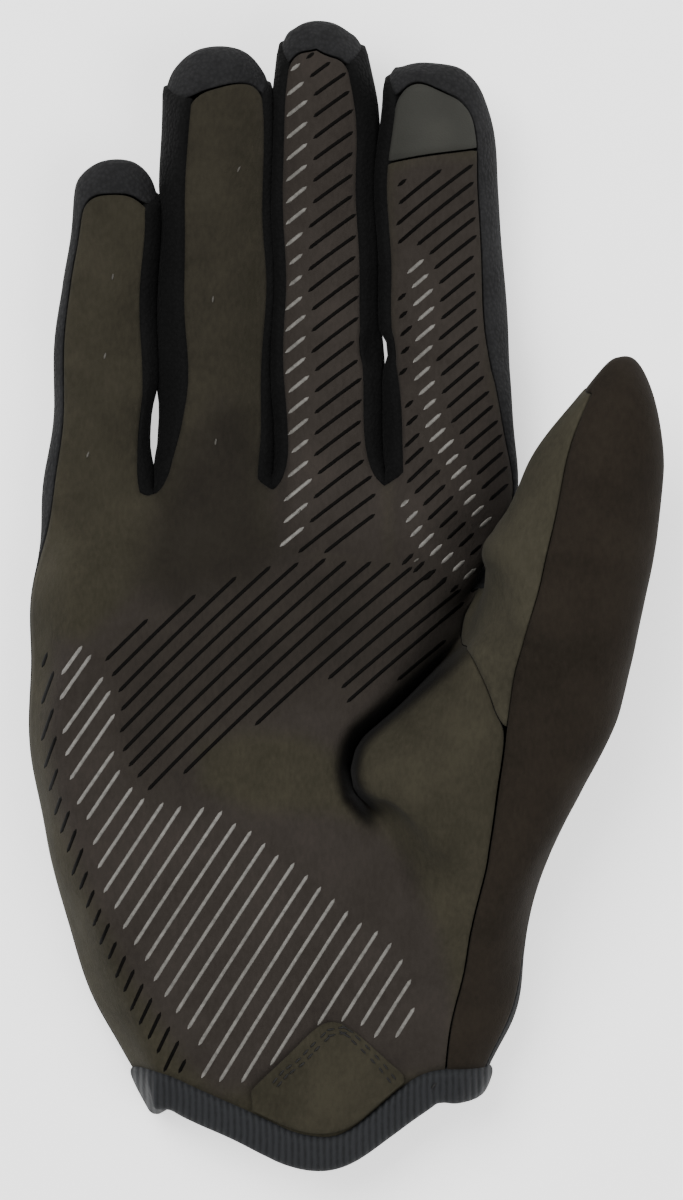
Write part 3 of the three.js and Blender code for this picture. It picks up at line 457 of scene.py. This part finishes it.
class Nodes:
    """A material's node tree, with short ways to add its parts."""

    def __init__(self, name, roughness, specular, sheen=0.0):
        self.material = bpy.data.materials.new(name)
        self.material.use_nodes = True
        self.tree = self.material.node_tree
        self.shader = self.tree.nodes["Principled BSDF"]
        self.shader.inputs["Roughness"].default_value = roughness
        self.shader.inputs["Specular IOR Level"].default_value = specular
        self.shader.inputs["Sheen Weight"].default_value = sheen
        self.shader.inputs["Sheen Roughness"].default_value = 0.5
        self.place = self.add("ShaderNodeTexCoord").outputs["Object"]

    def add(self, kind, **settings):
        node = self.tree.nodes.new(kind)
        for key, value in settings.items():
            setattr(node, key, value)
        return node

    def link(self, output, target):
        self.tree.links.new(output, target)

    def noise(self, scale, detail=3.0, roughness=0.5, stretch=None, turn=0.0):
        node = self.add("ShaderNodeTexNoise")
        node.inputs["Scale"].default_value = scale
        node.inputs["Detail"].default_value = detail
        node.inputs["Roughness"].default_value = roughness
        self.link(self.turned(stretch, turn), node.inputs["Vector"])
        return node.outputs["Fac"]

    def turned(self, stretch, turn):
        """The place on the object, stretched and turned where that is asked for."""
        if stretch is None:
            return self.place
        node = self.add("ShaderNodeMapping")
        node.inputs["Scale"].default_value = stretch
        node.inputs["Rotation"].default_value = (0, 0, turn)
        self.link(self.place, node.inputs["Vector"])
        return node.outputs["Vector"]

    def bands(self, scale, direction, distortion=0.0):
        node = self.add("ShaderNodeTexWave", bands_direction=direction)
        node.inputs["Scale"].default_value = scale
        node.inputs["Distortion"].default_value = distortion
        self.link(self.place, node.inputs["Vector"])
        return node.outputs["Fac"]

    def colours(self, factor, low, high, start=0.3, end=0.7):
        node = self.add("ShaderNodeValToRGB")
        node.color_ramp.elements[0].position = start
        node.color_ramp.elements[0].color = (*low, 1)
        node.color_ramp.elements[1].position = end
        node.color_ramp.elements[1].color = (*high, 1)
        self.link(factor, node.inputs["Fac"])
        return node.outputs["Color"]

    def blend(self, factor, first, second):
        node = self.add("ShaderNodeMix", data_type="RGBA")
        self.link(factor, node.inputs["Factor"])
        self.link(first, node.inputs["A"])
        self.link(second, node.inputs["B"])
        return node.outputs["Result"]

    def total(self, first, second, weight):
        """The first value and the second one times its weight."""
        node = self.add("ShaderNodeMath", operation="MULTIPLY_ADD")
        self.link(second, node.inputs[0])
        node.inputs[1].default_value = weight
        self.link(first, node.inputs[2])
        return node.outputs["Value"]

    def attribute(self, name):
        return self.add("ShaderNodeAttribute", attribute_name=name).outputs["Fac"]

    def relief(self, height, depth):
        node = self.add("ShaderNodeBump")
        node.inputs["Strength"].default_value = 1.0
        node.inputs["Distance"].default_value = depth
        self.link(height, node.inputs["Height"])
        self.link(node.outputs["Normal"], self.shader.inputs["Normal"])

    def base(self, colour):
        self.link(colour, self.shader.inputs["Base Color"])


def scaled(colour, share):
    return tuple(channel * share for channel in colour)


def suede_colours(nodes, colour, contrast):
    """Brushed nap: cloudy patches, with short lighter and darker hairs over them."""
    patches = nodes.noise(70, detail=4, roughness=0.6)
    hairs = nodes.noise(1500, detail=2, stretch=(1, 0.45, 1), turn=math.radians(-35))
    mixed = nodes.total(patches, hairs, 0.55)
    low, high = scaled(colour, 1 - contrast), scaled(colour, 1 + contrast)
    return nodes.colours(mixed, low, high, 0.45, 1.1)


def suede_relief(nodes):
    grain = nodes.noise(2300, detail=3, roughness=0.65)
    crumple = nodes.noise(260, detail=3)
    nodes.relief(nodes.total(grain, crumple, 1.6), 0.12 * MM)


def suede_material(name, colour):
    nodes = Nodes(name, roughness=0.95, sheen=0.02, specular=0.06)
    nodes.base(suede_colours(nodes, colour, SUEDE_CONTRAST))
    suede_relief(nodes)
    return nodes.material


def palm_material(colours):
    """Olive suede with a greyer printed ground, and painted shade between the fingers and in the
    crease.
    """
    nodes = Nodes("palm suede", roughness=0.95, sheen=0.02, specular=0.06)
    olive = suede_colours(nodes, colours.suede, SUEDE_CONTRAST)
    ground = suede_colours(nodes, colours.ground, PRINTED_CONTRAST)
    # Painted shade between the finger roots and over the upper palm.
    painted_shade = suede_colours(nodes, colours.painted_shade, PRINTED_CONTRAST)
    printed = nodes.blend(nodes.attribute("ground"), olive, ground)
    suede = nodes.blend(nodes.attribute("painted_shade"), printed, painted_shade)
    # Painted shade: deep in the crease the suede turns near black.
    painted_crease_shade = suede_colours(nodes, colours.painted_crease_shade, CREASE_SHADE_CONTRAST)
    nodes.base(nodes.blend(nodes.attribute("crease"), suede, painted_crease_shade))
    suede_relief(nodes)
    return nodes.material


def knit_material(name, colour):
    """Fine knit: close small loops, the same on every side of the glove."""
    nodes = Nodes(name, roughness=0.9, sheen=0.01, specular=0.08)
    loops = nodes.add("ShaderNodeTexVoronoi")
    loops.inputs["Scale"].default_value = 1300
    nodes.link(nodes.place, loops.inputs["Vector"])
    patches = nodes.noise(90, detail=3)
    mixed = nodes.total(patches, loops.outputs["Distance"], -0.5)
    nodes.base(nodes.colours(mixed, scaled(colour, 0.75), scaled(colour, 1.25), 0.05, 0.5))
    turned = nodes.add("ShaderNodeMath", operation="SUBTRACT")
    turned.inputs[0].default_value = 1
    nodes.link(loops.outputs["Distance"], turned.inputs[1])
    nodes.relief(turned.outputs["Value"], 0.2 * MM)
    return nodes.material


def microfibre_material(colours):
    nodes = Nodes("touch patch", roughness=0.8, sheen=0.02, specular=0.15)
    patches = nodes.noise(120, detail=3)
    grain = nodes.noise(3200, detail=2)
    mixed = nodes.total(patches, grain, 0.3)
    patch = colours.patch
    nodes.base(nodes.colours(mixed, scaled(patch, 0.85), scaled(patch, 1.12), 0.4, 0.9))
    nodes.relief(grain, 0.05 * MM)
    return nodes.material


def binding_material(colours):
    """Elastic tape with fine ribs across it."""
    nodes = Nodes("binding tape", roughness=0.75, sheen=0.02, specular=0.15)
    ribs = nodes.bands(260, "X", 0.6)
    fuzz = nodes.noise(900, detail=3)
    mixed = nodes.total(ribs, fuzz, 0.8)
    tape = colours.binding
    nodes.base(nodes.colours(mixed, scaled(tape, 0.65), scaled(tape, 1.35), 0.3, 1.4))
    nodes.relief(mixed, 0.2 * MM)
    return nodes.material


def rubber_material(name, colour, roughness, specular):
    nodes = Nodes(name, roughness=roughness, specular=specular)
    wear = nodes.noise(900, detail=4, roughness=0.7)
    nodes.base(nodes.colours(wear, scaled(colour, 0.6), scaled(colour, 1.25), 0.3, 0.7))
    nodes.relief(wear, 0.05 * MM)
    return nodes.material


def thread_material(name, colour):
    nodes = Nodes(name, roughness=0.7, specular=0.3)
    twist = nodes.noise(2600, detail=2)
    nodes.base(nodes.colours(twist, scaled(colour, 0.7), scaled(colour, 1.3)))
    nodes.relief(twist, 0.06 * MM)
    return nodes.material


# Grip stripes


class Surface:
    """The cloth that stripes and stitches lie on, felt for from above."""

    def __init__(self, *pieces):
        graph = bpy.context.evaluated_depsgraph_get()
        self.trees = [BVHTree.FromObject(piece, graph) for piece in pieces]

    def height(self, x, y):
        start = Vector((x, y, ABOVE_THE_GLOVE))
        places = [tree.ray_cast(start, Vector((0, 0, -1)))[0] for tree in self.trees]
        found = [place.z for place in places if place is not None]
        return max(found) if found else None


def point_on(line, share):
    """The point at that share of the line."""
    position = share * (len(line) - 1)
    index = min(int(position), len(line) - 2)
    return Vector(line[index]).lerp(Vector(line[index + 1]), position - index)


def heading(line, share, reach):
    """The line's direction there, taken between two points that far to each side."""
    before, after = max(share - reach, 0), min(share + reach, 1)
    return (point_on(line, after) - point_on(line, before)).normalized()


def length_of(line):
    return sum((Vector(line[i + 1]) - Vector(line[i])).length for i in range(len(line) - 1))


def left_of(direction):
    return Vector((-direction.y, direction.x))


def is_inside(point, area):
    """Whether a point lies within an area, both in millimetres."""
    inside = False
    for index in range(len(area)):
        (x0, y0), (x1, y1) = area[index - 1], area[index]
        if (y0 > point[1]) != (y1 > point[1]):
            if point[0] < x0 + (point[1] - y0) / (y1 - y0) * (x1 - x0):
                inside = not inside
    return inside


def stripe_line(family, start, angle, step):
    """The whole line of one stripe, through its point on the spine, in millimetres."""
    line = [start]
    for direction in (1, -1):
        point, run = start.copy(), 0.0
        while run < LONGEST_BAR:
            turn = math.radians(angle + family["bend"] * run * direction)
            point = point + Vector((math.cos(turn), math.sin(turn))) * step * direction
            run += step
            if direction > 0:
                line.append(point)
            else:
                line.insert(0, point)
    return line


def printed_runs(line, family, cloth):
    """The stretches of a line that are printed, each with whether it is silver."""
    runs = []
    before = None
    for point in line:
        kind = None
        if is_inside(point, family["print"]) and cloth.height(*(point * MM)) is not None:
            kind = any(is_inside(point, area) for area in family["silver"])
        if kind is not None and kind == before:
            runs[-1][1].append(point)
        elif kind is not None:
            runs.append((kind, [point]))
        before = kind
    return [run for run in runs if (run[1][-1] - run[1][0]).length > SHORTEST_BAR]


def add_bar(shape, line, width, crown, cloth):
    """A low bar of rubber along a line, rounded across it and at both ends.

    It narrows over its last 0.9 widths, and keeps a twentieth of its width at the very end.
    """
    made = bmesh.ops.create_grid(shape, x_segments=len(line) - 1, y_segments=4, size=0.5)
    length = length_of(line)
    for vertex in made["verts"]:
        along, across = vertex.co.x + 0.5, vertex.co.y * 2
        place = point_on(line, along)
        to_end = min(along, 1 - along) * length / (width * 0.9)
        taper = math.sqrt(max(0.0, 1 - (1 - min(to_end, 1)) ** 2))
        side = left_of(heading(line, along, 0.02))
        x, y = (place + side * across * width / 2 * max(taper, 0.05)) * MM
        z = cloth.height(x, y)
        if z is None:
            z = cloth.height(*(place * MM))
        if z is None:
            raise RuntimeError("a grip stripe has no cloth under it")
        lift = crown * taper * (1 - across * across) - SUNK_RIM
        vertex.co = (x, y, z + lift * MM)


def stripe_pieces(cloth, sizes):
    """Two shapes: the silver bars, under True, and the dark ones, under False."""
    shapes = {True: bmesh.new(), False: bmesh.new()}
    noise.seed_set(STRIPE_SEED)
    for family in STRIPES:
        first, last = (Vector(end) for end in family["spine"])
        first_angle, last_angle = family["angles"]
        count = int((last - first).length / family["pitch"])
        for number in range(count + 1):
            share = number / count
            start = first.lerp(last, share)
            angle = first_angle + (last_angle - first_angle) * share
            angle += noise.random_unit_vector().x * STRIPE_WOBBLE
            line = stripe_line(family, start, angle, sizes.stripe_step / MM)
            for silver, run in printed_runs(line, family, cloth):
                width = sizes.silver_width if silver else sizes.dark_width
                crown = sizes.silver_crown if silver else sizes.dark_crown
                add_bar(shapes[silver], run, width / MM, crown / MM, cloth)
    return shapes


def solid_from_sheet(piece, thickness):
    """Gives a sheet of bars its underside, which lies within the cloth."""
    modifier = piece.modifiers.new("Solidify", "SOLIDIFY")
    modifier.thickness = thickness
    modifier.offset = -1


# Stitches


def add_stitch(shape, place, turn, length, thickness, cloth):
    """One stitch: a small bead drawn out along the thread, half sunk in the cloth."""
    height = cloth.height(*place)
    if height is None:
        raise RuntimeError("a stitch has no cloth under it")
    where = Matrix.Translation((*place, height + thickness * 0.1))
    where = where @ Matrix.Rotation(turn, 4, "Z")
    where = where @ Matrix.Diagonal((length / 2, thickness / 2, thickness / 2, 1))
    where = where @ Matrix.Rotation(math.pi / 2, 4, "Y")
    bmesh.ops.create_uvsphere(shape, u_segments=7, v_segments=5, radius=1, matrix=where)


def stitch_along(shape, line, inset, sizes, cloth):
    """A row of stitches beside a line, that many millimetres to its left."""
    count = int(length_of(line) * MM / sizes.stitch_pitch)
    for number in range(count):
        share = (number + 0.5) / count
        ahead = heading(line, share, 0.01)
        place = (point_on(line, share) + left_of(ahead) * inset) * MM
        turn = math.atan2(ahead.y, ahead.x)
        add_stitch(shape, place, turn, sizes.stitch_length, sizes.thread_width, cloth)


def mesh_from(shape, name):
    mesh = bpy.data.meshes.new(name)
    shape.to_mesh(mesh)
    shape.free()
    return mesh


# Sizes and colours


def colour_property(name, description, value):
    return FloatVectorProperty(
        name=name, description=description, default=value, size=3, min=0, max=1, subtype="COLOR"
    )


def length_property(name, description, value):
    return FloatProperty(
        name=name, description=description, default=value, unit="LENGTH", precision=5
    )


class GloveSizes(bpy.types.PropertyGroup):
    """Sizes of the cloth's folds, the grip stripes, the stitches and the camera's view."""

    smoothing: IntProperty(
        name="Smoothing", description="Steps of subdivision", default=2, min=1, max=3
    )
    soft_length: length_property("Soft wave length", "Length of the cloth's broad waves", 0.018)
    soft_depth: length_property("Soft wave depth", "Height of the cloth's broad waves", 0.0013)
    fine_length: length_property("Fine wave length", "Length of the cloth's small waves", 0.007)
    fine_depth: length_property("Fine wave depth", "Height of the cloth's small waves", 0.0003)
    crease_reach: length_property("Crease reach", "How far off the crease draws cloth in", 0.0045)
    crease_pinch: length_property("Crease pinch", "How far the crease draws the cloth in", 0.0025)
    crease_drop: length_property("Crease drop", "How much deeper the crease's bottom lies", 0.003)
    crease_shade_width: length_property("Crease width", "Half the width of the crease's shade", 0.0016)
    side_fullness: length_property("Side fullness", "How far the finger sides swell", 0.00075)
    gusset_fullness: length_property("Gusset fullness", "How far the thumb gusset swells", 0.0002)
    tape_fullness: length_property("Tape fullness", "How far the cuff's tape swells", 0.0007)
    stripe_step: length_property("Stripe step", "Length of a stripe's parts", 0.0009)
    silver_width: length_property("Silver width", "Width of a silver stripe", 0.0008)
    silver_crown: length_property("Silver height", "Height of a silver stripe", 0.00022)
    dark_width: length_property("Dark width", "Width of a dark stripe", 0.0008)
    dark_crown: length_property("Dark height", "Height of a dark stripe", 0.0002)
    stitch_pitch: length_property("Stitch pitch", "From one stitch to the next", 0.0021)
    stitch_length: length_property("Stitch length", "Length of a stitch", 0.0016)
    thread_width: length_property("Thread width", "Thickness of the thread", 0.00042)
    camera_distance: length_property("Camera distance", "From the lens to the palm", 1.4)
    view_height: length_property("View height", "Height of the picture at the palm", 0.2264)


class GloveColours(bpy.types.PropertyGroup):
    """Colours of the cloths, the rubber and the thread."""

    suede: colour_property("Suede", "Plain olive suede of the palm", (0.027, 0.0243, 0.0165))
    ground: colour_property("Ground", "Printed ground under the stripes", (0.025, 0.021, 0.018))
    # Painted shade: the darker suede between the finger roots.
    painted_shade: colour_property("Shade", "Suede between the finger roots", (0.014, 0.012, 0.0095))
    # Painted shade: the near-black suede deep in the crease.
    painted_crease_shade: colour_property("Deep shade", "Suede deep in the crease", (0.0025, 0.002, 0.0016))
    gusset: colour_property("Gusset", "Strip inside the thumb", (0.032, 0.029, 0.020))
    thumb: colour_property("Thumb", "Dark suede outside the thumb", (0.0145, 0.0115, 0.0085))
    patch: colour_property("Patch", "Smooth patch at the index tip", (0.028, 0.028, 0.024))
    back: colour_property("Back", "Knit of the back and the tip caps", (0.0145, 0.0145, 0.015))
    sides: colour_property("Sides", "Knit between the fingers", (0.0035, 0.0035, 0.0035))
    # Painted shade: the back's black knit, made far darker where it lies between the fingers.
    binding: colour_property("Binding", "Tape round the cuff", (0.0125, 0.0132, 0.0145))
    silver: colour_property("Silver", "Silver grip stripes", (0.14, 0.134, 0.122))
    dark: colour_property("Dark", "Dark grip stripes", (0.002, 0.0018, 0.0015))
    thread: colour_property("Thread", "Dark thread", (0.006, 0.0055, 0.005))
    # Colour of the small light beads set at the light specks.
    speck: colour_property("Speck", "Light thread where it shows", (0.06, 0.056, 0.048))
    floor: colour_property("Floor", "The pale floor", (0.95, 0.95, 0.95))


# Operators


class GLOVE_OT_palm(bpy.types.Operator):
    """Builds the suede palm with its printed ground"""

    bl_idname = "glove.palm"
    bl_label = "Palm"

    def execute(self, context):
        scene = context.scene
        palm = cloth_piece("palm_suede", "palm_panel", scene.glove_sizes)
        mark_areas(palm.data, PRINTED_GROUNDS, "ground", PRINTED_EDGE)
        # Painted shade between the finger roots, weaker over the finger strips and the upper palm.
        mark_areas(palm.data, PAINTED_SHADES, "painted_shade", PAINTED_SHADE_EDGE)
        # Painted shade deep in the crease.
        mark_painted_crease_shade(palm.data, scene.glove_sizes.crease_shade_width)
        finish_piece(palm, palm_material(scene.glove_colours), "suede_olive", "palm_panel")
        return {"FINISHED"}


class GLOVE_OT_suede_panels(bpy.types.Operator):
    """Builds the thumb's panels, the touch patch and the wrist tab"""

    bl_idname = "glove.suede_panels"
    bl_label = "Suede panels"

    def execute(self, context):
        sizes, colours = context.scene.glove_sizes, context.scene.glove_colours
        gusset = cloth_piece(
            "thumb_gusset_suede", "thumb_gusset", sizes, fullness=sizes.gusset_fullness
        )
        suede = suede_material("gusset suede", colours.gusset)
        finish_piece(gusset, suede, "suede_olive", "thumb_gusset")
        thumb = cloth_piece("thumb_outer_suede", "thumb_panel", sizes)
        suede = suede_material("thumb suede", colours.thumb)
        finish_piece(thumb, suede, "suede_dark", "thumb_panel")
        patch = cloth_piece("index_patch_cloth", "index_touch_patch", sizes)
        finish_piece(patch, microfibre_material(colours), "patch_grey", "index_touch_patch")
        tab = cloth_piece("wrist_tab_suede", "wrist_tab", sizes)
        suede = suede_material("tab suede", colours.suede)
        finish_piece(tab, suede, "suede_olive", "wrist_tab")
        return {"FINISHED"}


class GLOVE_OT_knit_panels(bpy.types.Operator):
    """Builds the knit back and the strips between the fingers"""

    bl_idname = "glove.knit_panels"
    bl_label = "Knit panels"

    def execute(self, context):
        sizes, colours = context.scene.glove_sizes, context.scene.glove_colours
        back = cloth_piece("back_knit", "back_panel", sizes)
        finish_piece(back, knit_material("back knit", colours.back), "knit_black", "back_panel")
        # The strips between the fingers: the back's knit, darkened by painted shade.
        sides = knit_material("side knit", colours.sides)
        for pair in ("little_ring", "ring_middle", "middle_index"):
            node = f"fourchette_{pair}"
            strip = cloth_piece(f"side_{pair}_knit", node, sizes, fullness=sizes.side_fullness)
            finish_piece(strip, sides, "knit_black", node)
        return {"FINISHED"}


class GLOVE_OT_cuff(bpy.types.Operator):
    """Builds the ribbed tape round the cuff"""

    bl_idname = "glove.cuff"
    bl_label = "Cuff"

    def execute(self, context):
        sizes, colours = context.scene.glove_sizes, context.scene.glove_colours
        binding = cloth_piece(
            "cuff_tape", "cuff_binding", sizes, TAPE_TIGHTNESS, sizes.tape_fullness
        )
        finish_piece(binding, binding_material(colours), "binding_grey", "cuff_binding")
        return {"FINISHED"}


class GLOVE_OT_stripes(bpy.types.Operator):
    """Lays the silver and dark grip stripes on the palm"""

    bl_idname = "glove.stripes"
    bl_label = "Grip stripes"

    def execute(self, context):
        sizes, colours = context.scene.glove_sizes, context.scene.glove_colours
        cloth = Surface(bpy.data.objects["palm_suede"])
        shapes = stripe_pieces(cloth, sizes)
        silver = add_object("grip_bars_silver", mesh_from(shapes[True], "grip_bars_silver"))
        solid_from_sheet(silver, sizes.silver_crown)
        rubber = rubber_material("silver rubber", colours.silver, 0.45, 0.25)
        finish_piece(silver, rubber, "silicone_silver")
        dark = add_object("grip_bars_dark", mesh_from(shapes[False], "grip_bars_dark"))
        solid_from_sheet(dark, sizes.dark_crown)
        rubber = rubber_material("dark rubber", colours.dark, 0.7, 0.05)
        finish_piece(dark, rubber, "silicone_black")
        return {"FINISHED"}


class GLOVE_OT_stitches(bpy.types.Operator):
    """Sews the wrist tab, sets light beads at the specks, and leaves the thread's end at the cuff
    """

    bl_idname = "glove.stitches"
    bl_label = "Stitches"

    def execute(self, context):
        sizes, colours = context.scene.glove_sizes, context.scene.glove_colours
        names = ("palm_suede", "wrist_tab_suede", "cuff_tape", "back_knit", "thumb_outer_suede")
        cloth = Surface(*[bpy.data.objects[name] for name in names])
        dark = bmesh.new()
        for inset in TAB_ROWS:
            stitch_along(dark, TAB_EDGE, inset, sizes, cloth)
        stitch_along(dark, THREAD_END, 0, sizes, cloth)
        thread = add_object("stitches_dark", mesh_from(dark, "stitches_dark"))
        finish_piece(thread, thread_material("dark thread", colours.thread), "thread_dark")
        # The light specks: small light beads of the light thread material.
        light = bmesh.new()
        for x, y, turn in LIGHT_SPECKS:
            place = Vector((x, y)) * MM
            length = sizes.stitch_length * SPECK_LENGTH
            add_stitch(light, place, math.radians(turn), length, sizes.thread_width, cloth)
        specks = add_object("stitches_light", mesh_from(light, "stitches_light"))
        finish_piece(specks, thread_material("light thread", colours.speck), "thread_dark")
        return {"FINISHED"}


class GLOVE_OT_stage(bpy.types.Operator):
    """Sets the floor, the lights and the camera"""

    bl_idname = "glove.stage"
    bl_label = "Stage"

    def execute(self, context):
        scene = context.scene
        shape = bmesh.new()
        level = Matrix.Translation((0, 0, -FLOOR_DROP))
        bmesh.ops.create_grid(shape, x_segments=1, y_segments=1, size=FLOOR_SIZE, matrix=level)
        floor = add_object("floor", mesh_from(shape, "floor"))
        nodes = Nodes("pale floor", roughness=0.9, specular=0.1)
        nodes.shader.inputs["Base Color"].default_value = (*scene.glove_colours.floor, 1)
        nodes.shader.inputs["Emission Color"].default_value = (1, 1, 1, 1)
        nodes.shader.inputs["Emission Strength"].default_value = 1.0
        floor.data.materials.append(nodes.material)

        world = bpy.data.worlds.new("studio")
        world.use_nodes = True
        background = world.node_tree.nodes["Background"]
        background.inputs["Color"].default_value = (1, 1, 1, 1)
        background.inputs["Strength"].default_value = WORLD_LIGHT
        scene.world = world
        for name, place, size, power in LIGHTS:
            add_light(name, place, size, power)

        camera = bpy.data.objects.new("camera", bpy.data.cameras.new("camera"))
        scene.collection.objects.link(camera)
        distance = scene.glove_sizes.camera_distance
        camera.location = (*CAMERA_CENTRE, distance + PALM_HEIGHT)
        camera.data.sensor_fit = "VERTICAL"
        camera.data.sensor_height = SENSOR_HEIGHT
        camera.data.lens = SENSOR_HEIGHT * distance / scene.glove_sizes.view_height
        scene.camera = camera
        return {"FINISHED"}


def add_light(name, place, size, power):
    light = bpy.data.objects.new(name, bpy.data.lights.new(name, "AREA"))
    light.data.size = size
    light.data.energy = power
    light.location = place
    light.rotation_euler = (-Vector(place)).to_track_quat("-Z", "Y").to_euler()
    bpy.context.scene.collection.objects.link(light)


class GLOVE_PT_panel(bpy.types.Panel):
    """Lists the glove's pieces, sizes and colours"""

    bl_idname = "GLOVE_PT_panel"
    bl_label = "Cycling glove"
    bl_space_type = "VIEW_3D"
    bl_region_type = "UI"
    bl_category = "Glove"

    def draw(self, context):
        for operator in PIECES:
            self.layout.operator(operator.bl_idname)
        for group in (context.scene.glove_sizes, context.scene.glove_colours):
            for name in group.__annotations__:
                self.layout.prop(group, name)


PIECES = (
    GLOVE_OT_palm,
    GLOVE_OT_suede_panels,
    GLOVE_OT_knit_panels,
    GLOVE_OT_cuff,
    GLOVE_OT_stripes,
    GLOVE_OT_stitches,
    GLOVE_OT_stage,
)
CLASSES = (GloveSizes, GloveColours, *PIECES, GLOVE_PT_panel)


def register():
    for cls in CLASSES:
        bpy.utils.register_class(cls)
    bpy.types.Scene.glove_sizes = PointerProperty(type=GloveSizes)
    bpy.types.Scene.glove_colours = PointerProperty(type=GloveColours)


def unregister():
    del bpy.types.Scene.glove_colours
    del bpy.types.Scene.glove_sizes
    for cls in reversed(CLASSES):
        bpy.utils.unregister_class(cls)


def main():
    register()
    bpy.ops.glove.palm()
    bpy.ops.glove.suede_panels()
    bpy.ops.glove.knit_panels()
    bpy.ops.glove.cuff()
    bpy.ops.glove.stripes()
    bpy.ops.glove.stitches()
    bpy.ops.glove.stage()


if __name__ == "__main__":
    main()
